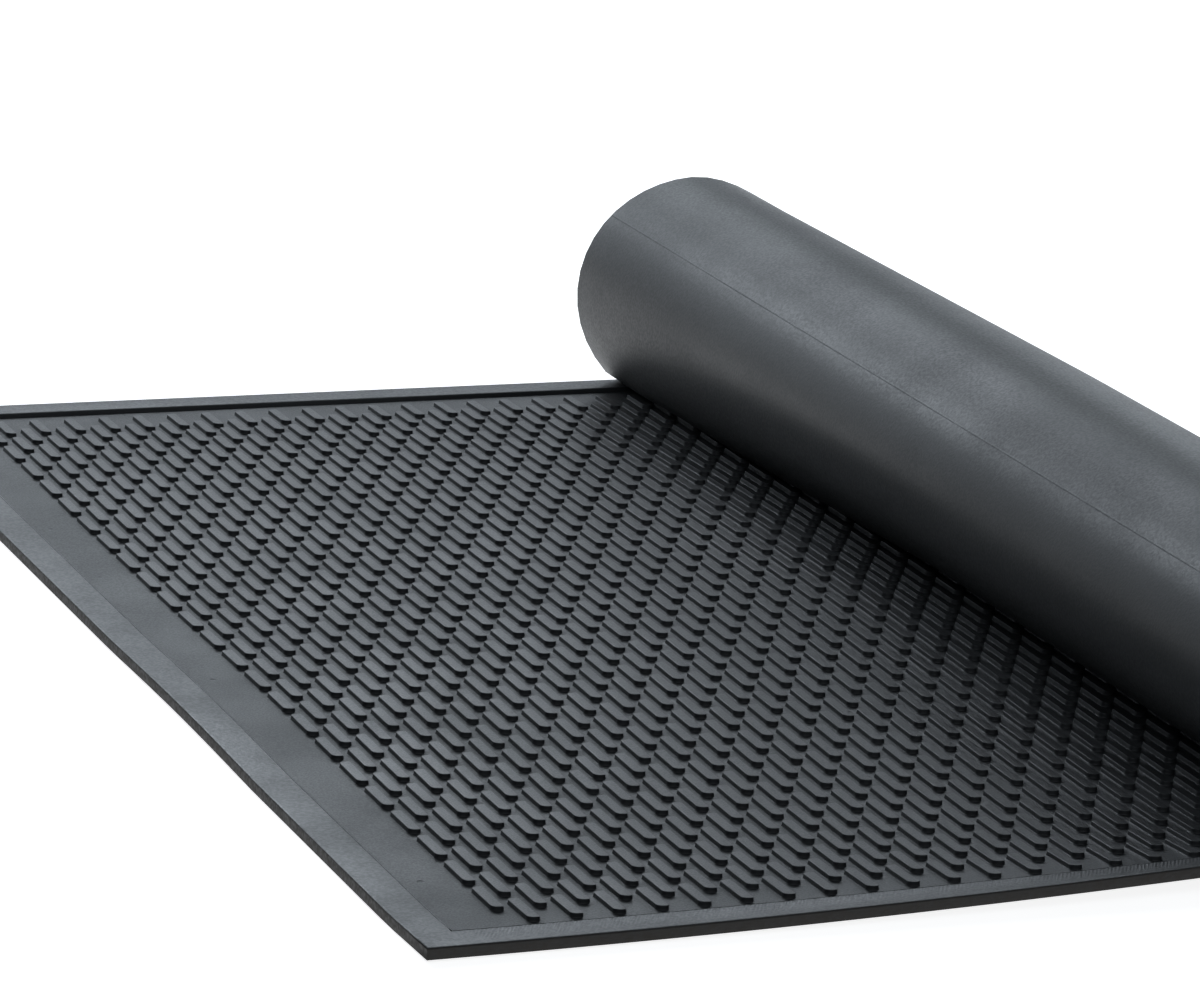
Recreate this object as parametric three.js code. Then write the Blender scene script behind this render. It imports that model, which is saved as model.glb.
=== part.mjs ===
// Rubber scraper mat, partly unrolled: one end lies flat, the rest is rolled up on it.
// Millimetres, +Z up. X runs along the mat, from its free end towards the roll.
// Y runs across the mat's width. The smooth back is down on the floor and outside on the roll.
// Each cleat is a plain ridge here. The cleats wound up in the roll and under it are fine relief
// that this solid leaves out.
import * as THREE from 'three';
import { mergeVertices } from 'three/addons/utils/BufferGeometryUtils.js';

// Driving dimensions
const MAT_LENGTH = 1500; // unrolled, measured in the middle of the sheet
const MAT_WIDTH = 900;
const SHEET_THICKNESS = 3; // floor of the mat between the rims
const RIM_RISE = 3; // rim above that floor
const RIM_WIDTH = 20; // raised strip along all four edges
const FLAT_LENGTH = 513; // free end to the line where the roll meets the ground
const ROLL_WIDTH = 153; // outside of the roll, along X
const ROLL_HEIGHT = 133; // outside of the roll, above the ground
const TURN_GAP = 1; // clearance between the rim and the turn outside it
const CLEAT_LENGTH = 27.2; // across the mat
const CLEAT_WIDTH = 5.5; // at the foot
const CLEAT_RISE = 3; // above the mat's floor
const CLEAT_PITCH = 35.2; // from cleat to cleat in a column
const CLEAT_MARGIN = 8; // from the near rim to the nearest cleats
const COLUMN_PITCH = 10.54; // from column to column along the mat
const FIRST_COLUMN = 52; // free end to the middle of the first column
const SWELL_RISE = 7; // how far the middle of the flat part stands off the ground
const SWELL_RUNOUT = 13; // flat stretch from the end of the swell to the roll's line on the ground
const STEPS_PER_TURN = 40;
const LENGTH_STEPS_PER_TURN = 3600;
const SWELL_STEPS_ALONG = 5;
const SWELL_STEPS_DOWN = 4;
const SWELL_STEPS_ACROSS = 8;
const MERGE_TOLERANCE = 0.0001;
const RUBBER_COLOUR = 0x1d1e20;
const RUBBER_ROUGHNESS = 0.75;

// Fits that follow from them
const HALF_WIDTH = MAT_WIDTH / 2;
const INNER_HALF = HALF_WIDTH - RIM_WIDTH;
const RIM_HEIGHT = SHEET_THICKNESS + RIM_RISE;
const TURN_PITCH = RIM_HEIGHT + TURN_GAP;
const ROLL_A = (ROLL_WIDTH + TURN_PITCH) / 2;
const ROLL_B = (ROLL_HEIGHT + TURN_PITCH / 2) / 2;
const FULL_TURN = 2 * Math.PI;
const LENGTH_STEP = FULL_TURN / LENGTH_STEPS_PER_TURN;
const SWELL_TOP = FLAT_LENGTH - ROLL_WIDTH / 2; // where the roll starts to hang over the flat part
const SWELL_END = FLAT_LENGTH - SWELL_RUNOUT;
const COLUMNS = Math.floor((SWELL_TOP - FIRST_COLUMN - CLEAT_WIDTH / 2) / COLUMN_PITCH) + 1;

// Back of the mat on the roll. The angle starts at the ground and goes over the far side.
// Each turn winds inwards by one pitch, and the roll starts and ends a turn without a kink.
function rollPoint(angle) {
  const inward = TURN_PITCH * (angle - Math.sin(angle)) / FULL_TURN;
  return new THREE.Vector2(
    FLAT_LENGTH + (ROLL_A - inward) * Math.sin(angle),
    ROLL_B - (ROLL_B - inward) * Math.cos(angle),
  );
}

// A point at a height above the mat's back, square to it
function raisedPoint(angle, height) {
  const ahead = rollPoint(angle + LENGTH_STEP / 2);
  const behind = rollPoint(angle - LENGTH_STEP / 2);
  const along = ahead.sub(behind).normalize();
  const inwards = new THREE.Vector2(-along.y, along.x);
  return rollPoint(angle).addScaledVector(inwards, height);
}

// Roll angle at which the mat has used up a length, measured from the free end
function angleAtLength(length) {
  let angle = 0;
  let used = FLAT_LENGTH;
  let last = raisedPoint(angle, SHEET_THICKNESS / 2);
  while (used < length) {
    angle += LENGTH_STEP;
    const next = raisedPoint(angle, SHEET_THICKNESS / 2);
    used += next.distanceTo(last);
    last = next;
  }
  return angle;
}

// Height of the flat part's back: a low arch between the side rims that grows towards the roll
function swell(along, across) {
  const share = across / INNER_HALF;
  const arch = Math.max(1 - share * share, 0);
  const growth = THREE.MathUtils.clamp((along - RIM_WIDTH) / (SWELL_TOP - RIM_WIDTH), 0, 1);
  const ebb = 1 - THREE.MathUtils.smoothstep(along, SWELL_TOP, SWELL_END);
  return SWELL_RISE * arch * growth * ebb;
}

// A station is a place along the mat, given by a length on the flat part and an angle on the roll
function place(station, across, height) {
  if (station.angle === undefined) {
    return new THREE.Vector3(station.along, across, height + swell(station.along, across));
  }
  const point = raisedPoint(station.angle, height);
  return new THREE.Vector3(point.x, across, point.y);
}

// Evenly spaced numbers after the first, up to the last
function spaced(first, last, steps) {
  return Array.from({ length: steps }, (_, i) => first + (last - first) * (i + 1) / steps);
}

function lengthwise(stations, across, height) {
  return stations.map((station) => place(station, across, height));
}

function crosswise(station, places, height) {
  return places.map((across) => place(station, across, height));
}

// Corners of the triangles, three by three
const corners = [];

// Strip between two lines of points. Seen from outside, the second line is on the right
// of the first one when both run upwards.
function fillStrip(left, right) {
  let i = 0;
  let j = 0;
  while (i < left.length - 1 || j < right.length - 1) {
    const leftGap = i < left.length - 1 ? left[i + 1].distanceTo(right[j]) : Infinity;
    const rightGap = j < right.length - 1 ? left[i].distanceTo(right[j + 1]) : Infinity;
    if (leftGap <= rightGap) {
      corners.push(left[i], right[j], left[i + 1]);
      i += 1;
    } else {
      corners.push(left[i], right[j], right[j + 1]);
      j += 1;
    }
  }
}

// Column of cleats: four foot corners and a ridge for each, and the floor between them.
// Every second column is half a pitch nearer to the near rim and has one more cleat.
function buildColumn(index) {
  const middle = FIRST_COLUMN + COLUMN_PITCH * index;
  const left = { along: middle - CLEAT_WIDTH / 2 };
  const centre = { along: middle };
  const right = { along: middle + CLEAT_WIDTH / 2 };
  const start = -INNER_HALF + CLEAT_MARGIN + (index % 2 === 0 ? CLEAT_PITCH / 2 : 0);
  const count = Math.floor((INNER_HALF - CLEAT_LENGTH - start) / CLEAT_PITCH) + 1;
  const leftLine = [];
  const rightLine = [];
  for (let i = 0; i < count; i += 1) {
    const near = start + CLEAT_PITCH * i;
    const ends = [near, near + CLEAT_LENGTH];
    const leftFoot = crosswise(left, ends, SHEET_THICKNESS);
    const rightFoot = crosswise(right, ends, SHEET_THICKNESS);
    const ridge = crosswise(centre, ends, SHEET_THICKNESS + CLEAT_RISE);
    if (i > 0) {
      fillStrip([leftLine.at(-1), leftFoot[0]], [rightLine.at(-1), rightFoot[0]]);
    }
    fillStrip(leftFoot, ridge);
    fillStrip(ridge, rightFoot);
    corners.push(leftFoot[0], rightFoot[0], ridge[0]);
    corners.push(rightFoot[1], leftFoot[1], ridge[1]);
    leftLine.push(...leftFoot);
    rightLine.push(...rightFoot);
  }
  return { left: leftLine, right: rightLine };
}

// Stations from the free end to the inner end of the roll
const freeEnd = { along: 0 };
const swellStations = [
  RIM_WIDTH,
  ...spaced(RIM_WIDTH, SWELL_TOP, SWELL_STEPS_ALONG),
  ...spaced(SWELL_TOP, SWELL_END, SWELL_STEPS_DOWN),
].map((along) => ({ along }));
const innerRimAngle = angleAtLength(MAT_LENGTH - RIM_WIDTH);
const rollSteps = Math.ceil(innerRimAngle / FULL_TURN * STEPS_PER_TURN);
const rollStations = [0, ...spaced(0, innerRimAngle, rollSteps)].map((angle) => ({ angle }));
const innerEnd = { angle: angleAtLength(MAT_LENGTH) };
const betweenRims = [...swellStations, ...rollStations];
const wholeLength = [freeEnd, ...betweenRims, innerEnd];

const edges = [-HALF_WIDTH, HALF_WIDTH];
const feet = [-INNER_HALF, INNER_HALF];
const archPlaces = [-INNER_HALF, ...spaced(-INNER_HALF, INNER_HALF, SWELL_STEPS_ACROSS)];

// Places across the mat that a line needs at a station: more of them where the mat is arched
function acrossAt(station, ends) {
  const arched = station.angle === undefined && swell(station.along, 0) > 0;
  const outside = ends.filter((end) => Math.abs(end) > INNER_HALF);
  return arched ? [...new Set([...archPlaces, ...outside])].sort((a, b) => a - b) : ends;
}

// Back of the mat
function buildBack() {
  const lines = wholeLength.map((station) => crosswise(station, acrossAt(station, edges), 0));
  for (let i = 1; i < lines.length; i += 1) {
    fillStrip(lines[i], lines[i - 1]);
  }
}

// Floor of the mat between the rims, with its cleats
function buildFloor() {
  const columns = Array.from({ length: COLUMNS }, (_, index) => buildColumn(index));
  const cleated = swellStations.filter((station) => station.along <= SWELL_TOP);
  const nearCorners = columns.flatMap((column) => [column.left[0], column.right[0]]);
  const farCorners = columns.flatMap((column) => [column.left.at(-1), column.right.at(-1)]);
  const rest = betweenRims.slice(cleated.length - 1);
  const lines = rest.map((station) => crosswise(station, acrossAt(station, feet), SHEET_THICKNESS));

  fillStrip(crosswise(cleated[0], feet, SHEET_THICKNESS), columns[0].left);
  for (let i = 1; i < columns.length; i += 1) {
    fillStrip(columns[i - 1].right, columns[i].left);
  }
  fillStrip(columns.at(-1).right, lines[0]);
  fillStrip(nearCorners, lengthwise(cleated, -INNER_HALF, SHEET_THICKNESS));
  fillStrip(lengthwise(cleated, INNER_HALF, SHEET_THICKNESS), farCorners);
  for (let i = 1; i < lines.length; i += 1) {
    fillStrip(lines[i - 1], lines[i]);
  }
}

// Rims along the two sides, with the mat's outer faces
function buildSideRims() {
  const nearTop = lengthwise(wholeLength, -HALF_WIDTH, RIM_HEIGHT);
  const farTop = lengthwise(wholeLength, HALF_WIDTH, RIM_HEIGHT);
  fillStrip(nearTop, lengthwise(wholeLength, -HALF_WIDTH, 0));
  fillStrip(lengthwise(wholeLength, HALF_WIDTH, 0), farTop);
  fillStrip(lengthwise(wholeLength, -INNER_HALF, RIM_HEIGHT), nearTop);
  fillStrip(farTop, lengthwise(wholeLength, INNER_HALF, RIM_HEIGHT));

  const nearInner = lengthwise(betweenRims, -INNER_HALF, RIM_HEIGHT);
  const farInner = lengthwise(betweenRims, INNER_HALF, RIM_HEIGHT);
  fillStrip(lengthwise(betweenRims, -INNER_HALF, SHEET_THICKNESS), nearInner);
  fillStrip(farInner, lengthwise(betweenRims, INNER_HALF, SHEET_THICKNESS));
}

// Rim across one end of the mat, from its outer station to its inner one
function buildEndRim(outer, inner, fill) {
  const rimTop = crosswise(outer, feet, RIM_HEIGHT);
  const innerTop = crosswise(inner, feet, RIM_HEIGHT);
  const outerTop = crosswise(outer, [edges[0], ...feet, edges[1]], RIM_HEIGHT);
  fill(rimTop, innerTop);
  fill(innerTop, crosswise(inner, feet, SHEET_THICKNESS));
  fill(crosswise(outer, edges, 0), outerTop);
}

function buildMat() {
  buildBack();
  buildFloor();
  buildSideRims();
  buildEndRim(freeEnd, betweenRims[0], fillStrip);
  buildEndRim(innerEnd, betweenRims.at(-1), (left, right) => fillStrip(right, left));
  return mergeVertices(new THREE.BufferGeometry().setFromPoints(corners), MERGE_TOLERANCE);
}

const geometry = buildMat();
geometry.computeBoundingBox();
const centre = geometry.boundingBox.getCenter(new THREE.Vector3());
geometry.translate(-centre.x, -centre.y, -geometry.boundingBox.min.z);
geometry.computeVertexNormals();

const rubber = new THREE.MeshStandardMaterial({
  color: RUBBER_COLOUR,
  roughness: RUBBER_ROUGHNESS,
  metalness: 0,
});
const mat = new THREE.Mesh(geometry, rubber);
mat.name = 'mat';

const part = new THREE.Group();
part.name = 'scraper_mat';
part.add(mat);

export default part;
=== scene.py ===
import math
from bisect import bisect_left

import bpy
from mathutils import Matrix, Vector


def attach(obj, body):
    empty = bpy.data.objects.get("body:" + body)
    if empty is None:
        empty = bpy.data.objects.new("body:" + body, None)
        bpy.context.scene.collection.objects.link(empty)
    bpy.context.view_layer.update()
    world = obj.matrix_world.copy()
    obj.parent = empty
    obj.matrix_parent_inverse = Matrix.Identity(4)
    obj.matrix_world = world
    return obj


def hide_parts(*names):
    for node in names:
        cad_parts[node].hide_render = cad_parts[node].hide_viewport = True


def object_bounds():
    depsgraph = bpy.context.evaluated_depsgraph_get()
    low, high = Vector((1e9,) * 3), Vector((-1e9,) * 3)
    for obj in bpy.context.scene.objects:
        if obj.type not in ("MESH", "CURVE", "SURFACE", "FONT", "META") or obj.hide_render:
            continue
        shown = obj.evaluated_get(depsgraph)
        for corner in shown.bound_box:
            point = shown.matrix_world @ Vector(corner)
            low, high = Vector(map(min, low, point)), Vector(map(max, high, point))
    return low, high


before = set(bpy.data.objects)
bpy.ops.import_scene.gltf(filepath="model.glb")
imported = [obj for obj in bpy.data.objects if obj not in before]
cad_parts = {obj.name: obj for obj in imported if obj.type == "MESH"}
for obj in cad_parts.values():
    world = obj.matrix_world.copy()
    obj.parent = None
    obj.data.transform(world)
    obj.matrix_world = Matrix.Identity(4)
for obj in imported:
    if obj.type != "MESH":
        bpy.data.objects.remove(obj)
cad_low, cad_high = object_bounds()

MM = 0.001

# The mat's own sizes, as in its solid
MAT_LENGTH = 1500 * MM
MAT_WIDTH = 900 * MM
SHEET_THICKNESS = 3 * MM
RIM_RISE = 3 * MM
RIM_WIDTH = 20 * MM
FLAT_LENGTH = 513 * MM
ROLL_WIDTH = 153 * MM
ROLL_HEIGHT = 133 * MM
TURN_GAP = 1 * MM

# The floor between the cleats, above which 2.4 mm of the rim and of the cleats stand out
FLOOR_HEIGHT = 3.6 * MM

HALF_WIDTH = MAT_WIDTH / 2
INNER_HALF = HALF_WIDTH - RIM_WIDTH
RIM_HEIGHT = SHEET_THICKNESS + RIM_RISE
TURN_PITCH = RIM_HEIGHT + TURN_GAP
ROLL_A = (ROLL_WIDTH + TURN_PITCH) / 2
ROLL_B = (ROLL_HEIGHT + TURN_PITCH / 2) / 2
FREE_END_X = cad_low.x
STEPS_IN_TURN = 3600
ANGLE_STEP = 2 * math.pi / STEPS_IN_TURN

# Cleats
CLEAT_PITCH = 35.2 * MM
CLEAT_MARGIN = 8 * MM
COLUMN_PITCH = 10.54 * MM
FIRST_COLUMN = 52 * MM
COLUMN_COUNT = int((MAT_LENGTH - 2 * FIRST_COLUMN) / COLUMN_PITCH) + 1
CLEAT_HALF_WIDTH = 2.75 * MM
CLEAT_HALF_LENGTH = 13.6 * MM
CLEATS_IN_LONG_COLUMN = int((2 * INNER_HALF - CLEAT_MARGIN) / CLEAT_PITCH)
NEAREST_TILE = -INNER_HALF + CLEAT_MARGIN + CLEAT_HALF_LENGTH - CLEAT_PITCH / 2

# Cleats up to this place are finely shaped, and those that the roll hides are plain bars
DETAIL_LENGTH = 0.50

# The flat part's arch, which is highest in front of the roll and gone where the roll starts
ARCH_RISE = 7 * MM
ARCH_TOP = FLAT_LENGTH - ROLL_WIDTH / 2
SWELL_END = 0.50

# Small waves across the flat part, from one half wave over its width up to four.
# Each has its height half way along, and how much is added from there to the roll.
HALF_WAY = 0.25
WAVES = (
    (-0.07 * MM, 0.11 * MM),
    (-0.48 * MM, -0.80 * MM),
    (-0.61 * MM, -0.35 * MM),
    (-0.52 * MM, 0.75 * MM),
)

# How far the near edge is lifted, and how far from it that still shows
LIFT_AT_FREE_END = 1.66 * MM
LIFT_HALF_WAY = 4.85 * MM
LIFT_AT_ROLL = 15.98 * MM
LIFT_REACH = 0.045
SWELL_FADE_START = 0.42

# How the roll has settled at its far end: a sunken shoulder behind the top, a belly in front.
# Places round the roll are in degrees from the line where it leaves the ground.
SLUMP_LENGTH = 0.40
SHOULDER_DEPTH = 4.7 * MM
SHOULDER_PLACE = 140
SHOULDER_REACH = 48
BELLY_DEPTH = 13 * MM
BELLY_START = 240
BELLY_REACH = 85
BELLY_POWER = 2.2
BELLY_FADE_START = 335
BELLY_SHARE_PER_TURN = 0.3


def clamp(value, low=0, high=1):
    return min(max(value, low), high)


def smooth(low, high, value):
    t = clamp((value - low) / (high - low))
    return t * t * (3 - 2 * t)


def roll_point(angle):
    inward = TURN_PITCH * (angle - math.sin(angle)) / (2 * math.pi)
    x = FLAT_LENGTH + (ROLL_A - inward) * math.sin(angle)
    return x, ROLL_B - (ROLL_B - inward) * math.cos(angle)


def roll_normal(angle):
    x0, z0 = roll_point(angle - ANGLE_STEP / 2)
    x1, z1 = roll_point(angle + ANGLE_STEP / 2)
    length = math.hypot(x1 - x0, z1 - z0)
    return -(z1 - z0) / length, (x1 - x0) / length


def raised_point(angle, height):
    x, z = roll_point(angle)
    nx, nz = roll_normal(angle)
    return x + nx * height, z + nz * height


def length_table():
    """Lengths along the sheet's middle, with the angle round the roll that each one reaches."""
    lengths, angles = [FLAT_LENGTH], [0.0]
    last = raised_point(0, SHEET_THICKNESS / 2)
    while lengths[-1] < MAT_LENGTH + RIM_WIDTH:
        angle = angles[-1] + ANGLE_STEP
        now = raised_point(angle, SHEET_THICKNESS / 2)
        lengths.append(lengths[-1] + math.dist(now, last))
        angles.append(angle)
        last = now
    return lengths, angles


LENGTHS, ANGLES = length_table()


def angle_at(along):
    i = clamp(bisect_left(LENGTHS, along), 1, len(LENGTHS) - 1)
    share = (along - LENGTHS[i - 1]) / (LENGTHS[i] - LENGTHS[i - 1])
    return ANGLES[i - 1] + share * ANGLE_STEP


def edge_lift(v):
    """Height of the near edge, with v -1 at the free end, 0 half way and 1 at the roll."""
    slope = (LIFT_AT_ROLL - LIFT_AT_FREE_END) / 2
    bend = (LIFT_AT_ROLL + LIFT_AT_FREE_END) / 2 - LIFT_HALF_WAY
    return LIFT_HALF_WAY + slope * v + bend * v * v


def swell(along, across):
    """Height of the flat part's back over the floor."""
    v = along / HALF_WAY - 1
    t = clamp((across + INNER_HALF) / (2 * INNER_HALF))
    ramp = clamp((along - RIM_WIDTH) / (ARCH_TOP - RIM_WIDTH))
    rise = ARCH_RISE * max(1 - (across / INNER_HALF) ** 2, 0) * ramp
    rise *= 1 - smooth(ARCH_TOP, SWELL_END, along)
    for k, (height, growth) in enumerate(WAVES, 1):
        rise += math.sin(k * math.pi * t) * (height + growth * v)
    rise += edge_lift(v) * math.exp(-(across + HALF_WIDTH) / LIFT_REACH)
    return max(rise, 0) * (1 - smooth(SWELL_FADE_START, SWELL_END, along))


def slump(angle, across):
    """How far the roll's turns stand out from their even spiral towards its far end."""
    turn, degrees = divmod(math.degrees(angle), 360)
    share = clamp(across / SLUMP_LENGTH)
    from_shoulder = clamp((degrees - SHOULDER_PLACE) / SHOULDER_REACH, -1, 1)
    shoulder = math.cos(math.pi / 2 * from_shoulder) ** 2
    belly = clamp((degrees - BELLY_START) / BELLY_REACH) ** BELLY_POWER
    belly *= 1 - smooth(BELLY_FADE_START, 360, degrees)
    belly *= BELLY_SHARE_PER_TURN ** turn
    return share * (BELLY_DEPTH * belly - SHOULDER_DEPTH * shoulder)


def place(along, across, height):
    """Where a point of the unrolled mat lies once the mat is rolled up."""
    if along <= FLAT_LENGTH:
        return FREE_END_X + along, across, height + swell(along, across)
    angle = angle_at(along)
    x, z = roll_point(angle)
    nx, nz = roll_normal(angle)
    push = slump(angle, across)
    x -= nx * push
    z -= nz * push
    if angle > math.pi:
        z = max(z, TURN_PITCH)
    return FREE_END_X + x + nx * height, across, z + nz * height


# Mesh under construction, in the unrolled mat's own coordinates
points = []
sheet_places = []
faces = []
face_slots = []
FLOOR, RIM, BACK, EDGE, CLEAT = range(5)


def add_point(along, across, height):
    points.append(place(along, across, height))
    sheet_places.append((along, across))
    return len(points) - 1


def add_face(corners, slot):
    faces.append(corners)
    face_slots.append(slot)


def add_band(low, high, slot):
    """Faces between two closed loops with as many points each."""
    for k in range(len(low)):
        n = (k + 1) % len(low)
        add_face([low[k], low[n], high[n], high[k]], slot)


def zipper(outer, inner):
    """Triangles between two counterclockwise loops of flat points.

    The inner loop's points are numbered on from the outer loop's last.
    """
    outer_count, inner_count = len(outer), len(inner)

    def gap(i, j):
        return math.dist(outer[i % outer_count], inner[j % inner_count])

    j = min(range(inner_count), key=lambda k: gap(0, k))
    i, start = 0, j
    triangles = []
    while i < outer_count or j < start + inner_count:
        can_outer = i < outer_count
        can_inner = j < start + inner_count
        low, high = i % outer_count, outer_count + j % inner_count
        if can_outer and (not can_inner or gap(i + 1, j) <= gap(i, j + 1)):
            i += 1
            triangles.append((low, i % outer_count, high))
        else:
            j += 1
            triangles.append((low, outer_count + j % inner_count, high))
    return triangles


# Radius and number of steps of a cleat's corners, seen from the near side
NEAR_LEFT_CORNER = (3.4 * MM, 3)
NEAR_RIGHT_CORNER = (0.7 * MM, 1)
FAR_RIGHT_CORNER = (0.9 * MM, 1)
FAR_LEFT_CORNER = (1.5 * MM, 2)


def corner_arc(side_x, side_y, corner, grow, start):
    """A quarter turn inside a corner of two straight sides, from a start angle on."""
    radius, steps = corner[0] + grow, corner[1]
    centre_x = side_x - math.copysign(radius, side_x)
    centre_y = side_y - math.copysign(radius, side_y)
    turns = [math.radians(start + 90 * k / steps) for k in range(steps + 1)]
    return [(centre_x + radius * math.cos(a), centre_y + radius * math.sin(a)) for a in turns]


def cleat_outline(grow, fine):
    """Counterclockwise outline of a cleat about its centre, grown outwards by a distance."""
    w, l = CLEAT_HALF_WIDTH + grow, CLEAT_HALF_LENGTH + grow
    if not fine:
        return [(-w, -l), (w, -l), (w, l), (-w, l)]
    return (
        corner_arc(-w, -l, NEAR_LEFT_CORNER, grow, 180)
        + corner_arc(w, -l, NEAR_RIGHT_CORNER, grow, 270)
        + corner_arc(w, l, FAR_RIGHT_CORNER, grow, 0)
        + corner_arc(-w, l, FAR_LEFT_CORNER, grow, 90)
    )


# A cleat's section from its foot to its flat top: growth of the outline, and height
FOOT_REACH = 0.55 * MM
FOOT_FILLET = 0.28 * MM
TAPER = 0.15 * MM
TAPER_HEIGHT = 1.00 * MM
TOP_BEVEL = 0.18 * MM
TOP_BEVEL_DROP = 0.30 * MM
PLAIN_FOOT_REACH = 0.3 * MM
FINE_RINGS = (
    (FOOT_REACH, FLOOR_HEIGHT),
    (FOOT_FILLET, FLOOR_HEIGHT + FOOT_FILLET),
    (TAPER, FLOOR_HEIGHT + TAPER_HEIGHT),
    (0, RIM_HEIGHT - TOP_BEVEL_DROP),
    (-TOP_BEVEL, RIM_HEIGHT),
)
PLAIN_RINGS = ((PLAIN_FOOT_REACH, FLOOR_HEIGHT), (0, RIM_HEIGHT))


def add_cleat(centre, border, fine):
    """One cleat and the floor round it, out to a loop of six floor points."""
    rings = FINE_RINGS if fine else PLAIN_RINGS
    loops = []
    for grow, height in rings:
        outline = cleat_outline(grow, fine)
        loops.append([add_point(centre[0] + x, centre[1] + y, height) for x, y in outline])
    foot = cleat_outline(rings[0][0], fine)
    local = [(sheet_places[b][0] - centre[0], sheet_places[b][1] - centre[1]) for b in border]
    corners = border + loops[0]
    for triangle in zipper(local, foot):
        add_face([corners[k] for k in triangle], FLOOR)
    for low, high in zip(loops, loops[1:]):
        add_band(low, high, FLOOR)
    add_face(loops[-1], CLEAT)


# The section from the back's edge over the rim to the floor: inset and height.
# A narrow crease runs along the rim's inner side, just outside its last edge.
EDGE_BEVEL = 0.35 * MM
OUTER_ROUND = 1.2 * MM
OUTER_ROUND_DROP = 1.1 * MM
CREASE_START = RIM_WIDTH - 1.5 * MM
CREASE_MIDDLE = RIM_WIDTH - 1.0 * MM
CREASE_END = RIM_WIDTH - 0.6 * MM
CREASE_DEPTH = 0.45 * MM
CREASE_END_DROP = 0.1 * MM
INNER_EDGE_DROP = 0.5 * MM
RIM_FOOT_FILLET = 0.3 * MM
RIM_FOOT_REACH = 1.0 * MM
EDGE_PROFILE = (
    (EDGE_BEVEL, 0),
    (0, EDGE_BEVEL),
    (0, RIM_HEIGHT - OUTER_ROUND_DROP),
    (EDGE_BEVEL, RIM_HEIGHT - EDGE_BEVEL),
    (OUTER_ROUND, RIM_HEIGHT),
    (RIM_WIDTH / 2, RIM_HEIGHT),
    (CREASE_START, RIM_HEIGHT),
    (CREASE_MIDDLE, RIM_HEIGHT - CREASE_DEPTH),
    (CREASE_END, RIM_HEIGHT - CREASE_END_DROP),
    (RIM_WIDTH, RIM_HEIGHT - INNER_EDGE_DROP),
    (RIM_WIDTH + RIM_FOOT_FILLET, FLOOR_HEIGHT + RIM_FOOT_FILLET),
    (RIM_WIDTH + RIM_FOOT_REACH, FLOOR_HEIGHT),
)
EDGE_SLOTS = 3 * (EDGE,) + 6 * (RIM,) + 2 * (FLOOR,)

# Lines of the grid inside the rim: the columns' sides along the mat, half pitches across it
FLOOR_INSET = EDGE_PROFILE[-1][0]
FIRST_SIDE = FIRST_COLUMN - COLUMN_PITCH / 2
LAST_SIDE = FIRST_SIDE + COLUMN_PITCH * COLUMN_COUNT
COLUMN_SIDES = [FIRST_SIDE + COLUMN_PITCH * k for k in range(COLUMN_COUNT + 1)]
NEAR_MARGIN_LINE = (FLOOR_INSET + FIRST_SIDE) / 2
FAR_MARGIN_LINE = (LAST_SIDE + MAT_LENGTH - FLOOR_INSET) / 2
LINES_ALONG = [NEAR_MARGIN_LINE] + COLUMN_SIDES + [FAR_MARGIN_LINE]
HALF_PITCHES = range(2 * CLEATS_IN_LONG_COLUMN + 1)
LINES_ACROSS = [NEAREST_TILE + CLEAT_PITCH / 2 * m for m in HALF_PITCHES]


def edge_loop(inset, height):
    """Points round the whole mat, at the ends of the grid's lines and in the corners."""
    a, b = inset, MAT_LENGTH - inset
    low, high = -HALF_WIDTH + inset, HALF_WIDTH - inset
    places = [(a, low)] + [(s, low) for s in LINES_ALONG]
    places += [(b, low)] + [(b, y) for y in LINES_ACROSS]
    places += [(b, high)] + [(s, high) for s in reversed(LINES_ALONG)]
    places += [(a, high)] + [(a, y) for y in reversed(LINES_ACROSS)]
    return [add_point(s, y, height) for s, y in places]


def grid_inside(ring, height):
    """Grid of points whose outermost ones are a loop's own."""
    ns, ny = len(LINES_ALONG) + 2, len(LINES_ACROSS) + 2
    grid = [[None] * ny for _ in range(ns)]
    walk = [(i, 0) for i in range(ns - 1)]
    walk += [(ns - 1, j) for j in range(ny - 1)]
    walk += [(i, ny - 1) for i in range(ns - 1, 0, -1)]
    walk += [(0, j) for j in range(ny - 1, 0, -1)]
    for (i, j), point in zip(walk, ring):
        grid[i][j] = point
    for i, s in enumerate(LINES_ALONG, 1):
        for j, y in enumerate(LINES_ACROSS, 1):
            grid[i][j] = add_point(s, y, height)
    return grid


def add_back(grid):
    for near, far in zip(grid, grid[1:]):
        for j in range(len(near) - 1):
            add_face([near[j], near[j + 1], far[j + 1], far[j]], BACK)


def add_plain_floor(near, far, tiles):
    for j in tiles:
        add_face([near[j], far[j], far[j + 1], near[j + 1]], FLOOR)


def add_column(near, far, centre_along, short):
    """One column of cleats between two lines of the grid; a short one has a cleat less."""
    last = len(near) - 1
    first, end = 1 + short, last - 1 - short
    add_plain_floor(near, far, range(first))
    add_plain_floor(near, far, range(end, last))
    for j in range(first, end, 2):
        border = [near[j], far[j], far[j + 1], far[j + 2], near[j + 2], near[j + 1]]
        centre = (centre_along, sheet_places[near[j + 1]][1])
        add_cleat(centre, border, centre_along < DETAIL_LENGTH)


def add_top(grid):
    for i, (near, far) in enumerate(zip(grid, grid[1:])):
        column = i - 2
        if 0 <= column < COLUMN_COUNT:
            short = (column + 1) % 2
            add_column(near, far, FIRST_COLUMN + COLUMN_PITCH * column, short)
        else:
            add_plain_floor(near, far, range(len(near) - 1))


def build_sheet():
    loops = [edge_loop(inset, height) for inset, height in EDGE_PROFILE]
    for low, high, slot in zip(loops, loops[1:], EDGE_SLOTS):
        add_band(low, high, slot)
    add_back(grid_inside(loops[0], 0))
    add_top(grid_inside(loops[-1], FLOOR_HEIGHT))


SHARP_ANGLE = math.radians(60)


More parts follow.
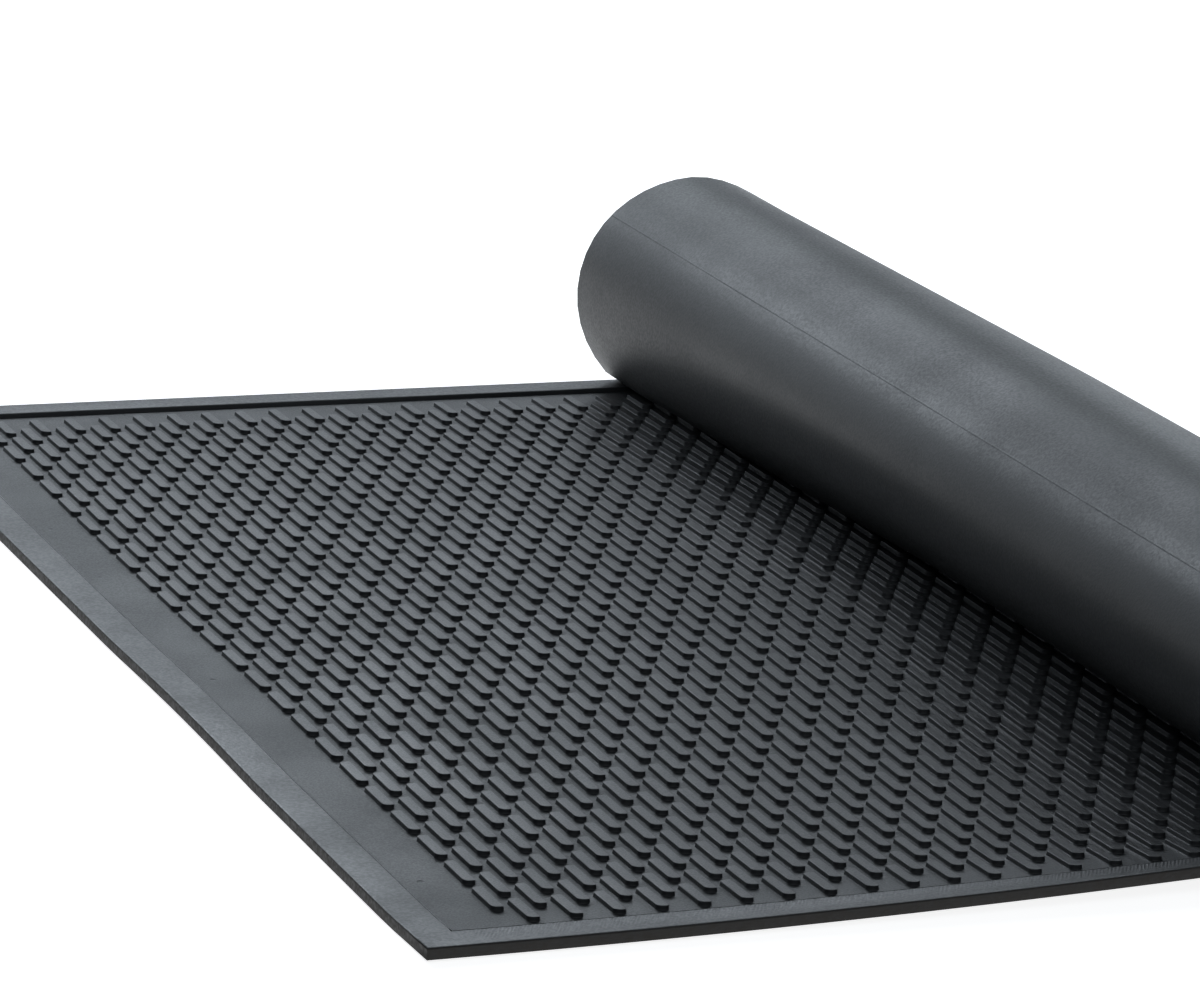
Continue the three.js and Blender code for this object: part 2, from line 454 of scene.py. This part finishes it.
def make_mat():
    """The mat's mesh, with flat faces shaded flat and places on the sheet as its UVs."""
    mesh = bpy.data.meshes.new("rubber_mat")
    mesh.from_pydata(points, [], faces)
    mesh.update()
    uv = mesh.uv_layers.new(name="sheet")
    for loop in mesh.loops:
        uv.data[loop.index].uv = sheet_places[loop.vertex_index]
    mesh.polygons.foreach_set("material_index", face_slots)
    mesh.polygons.foreach_set("use_smooth", [True] * len(faces))
    mesh.set_sharp_from_angle(angle=SHARP_ANGLE)
    made = bpy.data.objects.new("rubber_mat", mesh)
    bpy.context.collection.objects.link(made)
    weighted = made.modifiers.new("flat_faces", "WEIGHTED_NORMAL")
    weighted.mode = "FACE_AREA"
    weighted.keep_sharp = True
    return made


build_sheet()
mat = make_mat()
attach(mat, "root")
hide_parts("mat")


# Helpers for material nodes: each but wire returns an output socket
def wire(tree, value, socket):
    if isinstance(value, bpy.types.NodeSocket):
        tree.links.new(value, socket)
    else:
        socket.default_value = value


def calculate(tree, operation, *values):
    node = tree.nodes.new("ShaderNodeMath")
    node.operation = operation
    for socket, value in zip(node.inputs, values):
        wire(tree, value, socket)
    return node.outputs[0]


def product(tree, first, *others):
    for other in others:
        first = calculate(tree, "MULTIPLY", first, other)
    return first


def rescale(tree, value, low, high, to_low=0.0, to_high=1.0):
    node = tree.nodes.new("ShaderNodeMapRange")
    node.interpolation_type = "SMOOTHSTEP"
    for socket, given in zip(node.inputs, (value, low, high, to_low, to_high)):
        wire(tree, given, socket)
    return node.outputs[0]


def noise(tree, place, scale, detail=3.0):
    node = tree.nodes.new("ShaderNodeTexNoise")
    node.inputs["Scale"].default_value = scale
    node.inputs["Detail"].default_value = detail
    tree.links.new(place, node.inputs["Vector"])
    return node.outputs[0]


def specks(tree, place, scale, size, share):
    """Small dots of a given radius in some of the cells of a random pattern."""
    node = tree.nodes.new("ShaderNodeTexVoronoi")
    node.inputs["Scale"].default_value = scale
    tree.links.new(place, node.inputs["Vector"])
    colour = tree.nodes.new("ShaderNodeSeparateColor")
    tree.links.new(node.outputs["Color"], colour.inputs[0])
    chosen = calculate(tree, "LESS_THAN", colour.outputs[0], share)
    near = rescale(tree, node.outputs["Distance"], 0.4 * size * scale, size * scale, 1.0, 0.0)
    return product(tree, chosen, near)


def mixed(tree, share, first, second):
    node = tree.nodes.new("ShaderNodeMix")
    node.data_type = "RGBA"
    wire(tree, share, node.inputs[0])
    for socket, colour in zip((node.inputs[6], node.inputs[7]), (first, second)):
        wire(tree, colour if isinstance(colour, bpy.types.NodeSocket) else (*colour, 1), socket)
    return node.outputs[2]


class Rubber:
    """A rubber material of the mat, with its places on the sheet and in space."""

    def __init__(self, name, specular):
        self.material = bpy.data.materials.new(name)
        self.material.use_nodes = True
        self.tree = self.material.node_tree
        self.shader = self.tree.nodes["Principled BSDF"]
        self.shader.inputs["Specular IOR Level"].default_value = specular
        self.place = self.tree.nodes.new("ShaderNodeTexCoord").outputs["Object"]
        sheet = self.tree.nodes.new("ShaderNodeUVMap")
        sheet.uv_map = "sheet"
        split = self.tree.nodes.new("ShaderNodeSeparateXYZ")
        self.tree.links.new(sheet.outputs[0], split.inputs[0])
        self.along, self.across = split.outputs[0], split.outputs[1]
        mat.data.materials.append(self.material)

    def finish(self, colour, roughness, relief, depth):
        bump = self.tree.nodes.new("ShaderNodeBump")
        bump.inputs["Strength"].default_value = 1
        bump.inputs["Distance"].default_value = depth
        self.tree.links.new(relief, bump.inputs["Height"])
        self.tree.links.new(colour, self.shader.inputs["Base Color"])
        self.tree.links.new(roughness, self.shader.inputs["Roughness"])
        self.tree.links.new(bump.outputs[0], self.shader.inputs["Normal"])


BLACK = (0.013, 0.014, 0.015)
GREY = (0.030, 0.032, 0.034)
BROWN_BLACK = (0.034, 0.030, 0.026)
DUST = (0.42, 0.42, 0.40)
DUST_SIZE = 0.45 * MM
GRAIN_ROUGHNESS = 0.06


def speckled(rubber, roughness, patchiness, blotch_scale, grain_scale, dust_scale, dust_share):
    """Colour, roughness and grain that all the moulded faces share."""
    tree = rubber.tree
    blotches = noise(tree, rubber.place, blotch_scale)
    grain = noise(tree, rubber.place, grain_scale)
    colour = mixed(tree, blotches, BLACK, GREY)
    dust = specks(tree, rubber.place, dust_scale, DUST_SIZE, dust_share)
    colour = mixed(tree, dust, colour, DUST)
    broad = rescale(tree, blotches, 0.35, 0.65, roughness - patchiness, roughness + patchiness)
    fine = rescale(tree, grain, 0.3, 0.7, -GRAIN_ROUGHNESS, GRAIN_ROUGHNESS)
    return colour, calculate(tree, "ADD", broad, fine), grain


# Small nicks lie in the margin between the free end's rim and the first cleats
NICK_SIZE = 2.2 * MM
NICK_DEPTH = 6.0
MARGIN_START = (28 * MM, 32 * MM)
MARGIN_END = (38 * MM, 42 * MM)


def floor_rubber():
    rubber = Rubber("rubber_floor", specular=0.42)
    tree = rubber.tree
    colour, roughness, grain = speckled(
        rubber, roughness=0.47, patchiness=0.04,
        blotch_scale=16, grain_scale=1000, dust_scale=55, dust_share=0.14,
    )
    nicks = specks(tree, rubber.place, scale=45, size=NICK_SIZE, share=0.22)
    margin = product(
        tree,
        rescale(tree, rubber.along, *MARGIN_START),
        rescale(tree, rubber.along, *MARGIN_END, 1.0, 0.0),
    )
    relief = calculate(tree, "SUBTRACT", grain, product(tree, nicks, margin, NICK_DEPTH))
    rubber.finish(colour, roughness, relief, depth=0.09 * MM)


# Fine slanted hatching on the near rim, weaker towards the roll
HATCH_SPACING = 1.7 * MM
HATCH_ANGLE = math.radians(60)
HATCH_ACROSS = (-HALF_WIDTH + 3 * MM, -INNER_HALF - 4 * MM)
HATCH_START = (22 * MM, 40 * MM)
HATCH_WEAKER = (0.16, 0.42)
HATCH_AT_ROLL = 0.25


def rim_rubber():
    rubber = Rubber("rubber_rim", specular=0.6)
    tree = rubber.tree
    colour, roughness, grain = speckled(
        rubber, roughness=0.43, patchiness=0.04,
        blotch_scale=22, grain_scale=600, dust_scale=70, dust_share=0.14,
    )
    mottle = noise(tree, rubber.place, scale=170)
    ridge = calculate(
        tree, "SUBTRACT",
        product(tree, rubber.across, math.cos(HATCH_ANGLE)),
        product(tree, rubber.along, math.sin(HATCH_ANGLE)),
    )
    wave = calculate(tree, "SINE", product(tree, ridge, 2 * math.pi / HATCH_SPACING))
    shown = product(
        tree,
        rescale(tree, rubber.across, *HATCH_ACROSS),
        rescale(tree, rubber.across, 0.0, 0.1, 1.0, 0.0),
        rescale(tree, rubber.along, *HATCH_START),
        rescale(tree, rubber.along, *HATCH_WEAKER, 1.0, HATCH_AT_ROLL),
    )
    relief = calculate(tree, "ADD", grain, product(tree, mottle, 1.3))
    relief = calculate(tree, "ADD", relief, product(tree, wave, shown, 1.3))
    rubber.finish(colour, roughness, relief, depth=0.10 * MM)


MOULD_LINE_ANGLE = math.radians(228)
MOULD_LINE_WIDTH = 0.8 * MM
MOULD_LINE_DEPTH = 1.5


def back_rubber():
    rubber = Rubber("rubber_back", specular=0.34)
    tree = rubber.tree
    colour, roughness, grain = speckled(
        rubber, roughness=0.45, patchiness=0.035,
        blotch_scale=10, grain_scale=650, dust_scale=28, dust_share=0.12,
    )
    line_place = LENGTHS[round(MOULD_LINE_ANGLE / ANGLE_STEP)]
    offset = calculate(tree, "ABSOLUTE", calculate(tree, "SUBTRACT", rubber.along, line_place))
    line = rescale(tree, offset, 0.0, MOULD_LINE_WIDTH, 1.0, 0.0)
    relief = calculate(tree, "ADD", grain, product(tree, line, MOULD_LINE_DEPTH))
    rubber.finish(colour, roughness, relief, depth=0.07 * MM)


def edge_rubber():
    rubber = Rubber("rubber_edge", specular=0.25)
    tree = rubber.tree
    cut = noise(tree, rubber.place, scale=450)
    colour = mixed(tree, cut, BLACK, BROWN_BLACK)
    roughness = rescale(tree, cut, 0.3, 0.7, 0.5, 0.75)
    rubber.finish(colour, roughness, cut, depth=0.25 * MM)


def cleat_rubber():
    rubber = Rubber("rubber_cleat", specular=0.5)
    colour, roughness, grain = speckled(
        rubber, roughness=0.39, patchiness=0.04,
        blotch_scale=16, grain_scale=1000, dust_scale=60, dust_share=0.14,
    )
    rubber.finish(colour, roughness, grain, depth=0.08 * MM)


# The order is that of the slots: floor, rim, back, edge and cleat
floor_rubber()
rim_rubber()
back_rubber()
edge_rubber()
cleat_rubber()

# Ground under the mat, which glows a little so that it stays as white as in the photo
GROUND_SIZE = 30
GROUND_COLOUR = (0.85, 0.85, 0.85, 1)
GROUND_ROUGHNESS = 0.9
GROUND_GLOW = 0.85
bpy.ops.mesh.primitive_plane_add(size=GROUND_SIZE)
ground = bpy.context.object
ground.name = "floor"
white = bpy.data.materials.new("floor_white")
white.use_nodes = True
paper = white.node_tree.nodes["Principled BSDF"]
paper.inputs["Base Color"].default_value = GROUND_COLOUR
paper.inputs["Roughness"].default_value = GROUND_ROUGHNESS
paper.inputs["Emission Color"].default_value = (1, 1, 1, 1)
paper.inputs["Emission Strength"].default_value = GROUND_GLOW
ground.data.materials.append(white)

# Lights
SOFT_WHITE = (0.84, 0.92, 1.0)
LIGHT_AIM = Vector((0.1, 0, 0.05))


def softbox(name, azimuth, elevation, distance, size, radiance):
    """A panel facing the mat; azimuth 0 is behind it, at +Y, and 90 is at +X."""
    light = bpy.data.lights.new(name, "AREA")
    light.shape = "RECTANGLE"
    light.size, light.size_y = size
    light.color = SOFT_WHITE
    light.energy = radiance * size[0] * size[1] * math.pi
    lamp = bpy.data.objects.new(name, light)
    azimuth, elevation = math.radians(azimuth), math.radians(elevation)
    level = distance * math.cos(elevation)
    up = distance * math.sin(elevation)
    lamp.location = (level * math.sin(azimuth), level * math.cos(azimuth), up)
    lamp.rotation_euler = (LIGHT_AIM - lamp.location).to_track_quat("-Z", "Y").to_euler()
    bpy.context.collection.objects.link(lamp)


# Two rows of panels behind the mat give its grey sheen: radiance by azimuth
PANEL_DISTANCE = 3.6
MIDDLE_PANELS = {-15: 8.4, 0: 2.6, 15: 4.6, 45: 7.6}
MIDDLE_ELEVATION = 30
MIDDLE_SIZE = (0.95, 0.9)
LOW_PANELS = {-30: 1.1, -8: 2.2, 14: 0.7, 36: 1.0}
LOW_ELEVATION = 11
LOW_SIZE = (1.4, 0.8)
for azimuth, radiance in MIDDLE_PANELS.items():
    name = f"middle_panel_{azimuth}"
    softbox(name, azimuth, MIDDLE_ELEVATION, PANEL_DISTANCE, MIDDLE_SIZE, radiance)
for azimuth, radiance in LOW_PANELS.items():
    name = f"low_panel_{azimuth}"
    softbox(name, azimuth, LOW_ELEVATION, PANEL_DISTANCE, LOW_SIZE, radiance)
softbox("high_panel", 15, 52, PANEL_DISTANCE, size=(2.0, 1.2), radiance=1.5)

# Weak panels for the sides that the photo doesn't show
softbox("front_fill", azimuth=205, elevation=36, distance=5.0, size=(4.5, 1.8), radiance=1.3)
softbox("right_fill", azimuth=115, elevation=36, distance=4.5, size=(3.0, 1.6), radiance=0.9)
softbox("left_fill", azimuth=285, elevation=40, distance=4.5, size=(3.0, 1.4), radiance=0.7)

SKY_COLOUR = (0.9, 0.95, 1, 1)
SKY_STRENGTH = 0.02
world = bpy.data.worlds.new("world")
bpy.context.scene.world = world
world.use_nodes = True
sky = world.node_tree.nodes["Background"]
sky.inputs["Color"].default_value = SKY_COLOUR
sky.inputs["Strength"].default_value = SKY_STRENGTH

bpy.context.scene.view_settings.view_transform = "Standard"

# Camera, as worked out from the cleats in the photo
CAMERA_LENS = 165.72
CAMERA_SENSOR_WIDTH = 36
CAMERA_PLACE = Vector((-1.1553, -2.5638, 0.8709))
CAMERA_AZIMUTH = math.radians(23.686)
CAMERA_PITCH = math.radians(16.012)
CAMERA_ROLL = math.radians(3.934)
camera_data = bpy.data.cameras.new("camera")
camera_data.lens = CAMERA_LENS
camera_data.sensor_width = CAMERA_SENSOR_WIDTH
camera = bpy.data.objects.new("camera", camera_data)
forward = Vector((
    math.sin(CAMERA_AZIMUTH) * math.cos(CAMERA_PITCH),
    math.cos(CAMERA_AZIMUTH) * math.cos(CAMERA_PITCH),
    -math.sin(CAMERA_PITCH),
))
look = forward.to_track_quat("-Z", "Y").to_matrix().to_4x4()
camera.matrix_world = Matrix.Translation(CAMERA_PLACE) @ look @ Matrix.Rotation(CAMERA_ROLL, 4, "Z")
bpy.context.collection.objects.link(camera)
bpy.context.scene.camera = camera
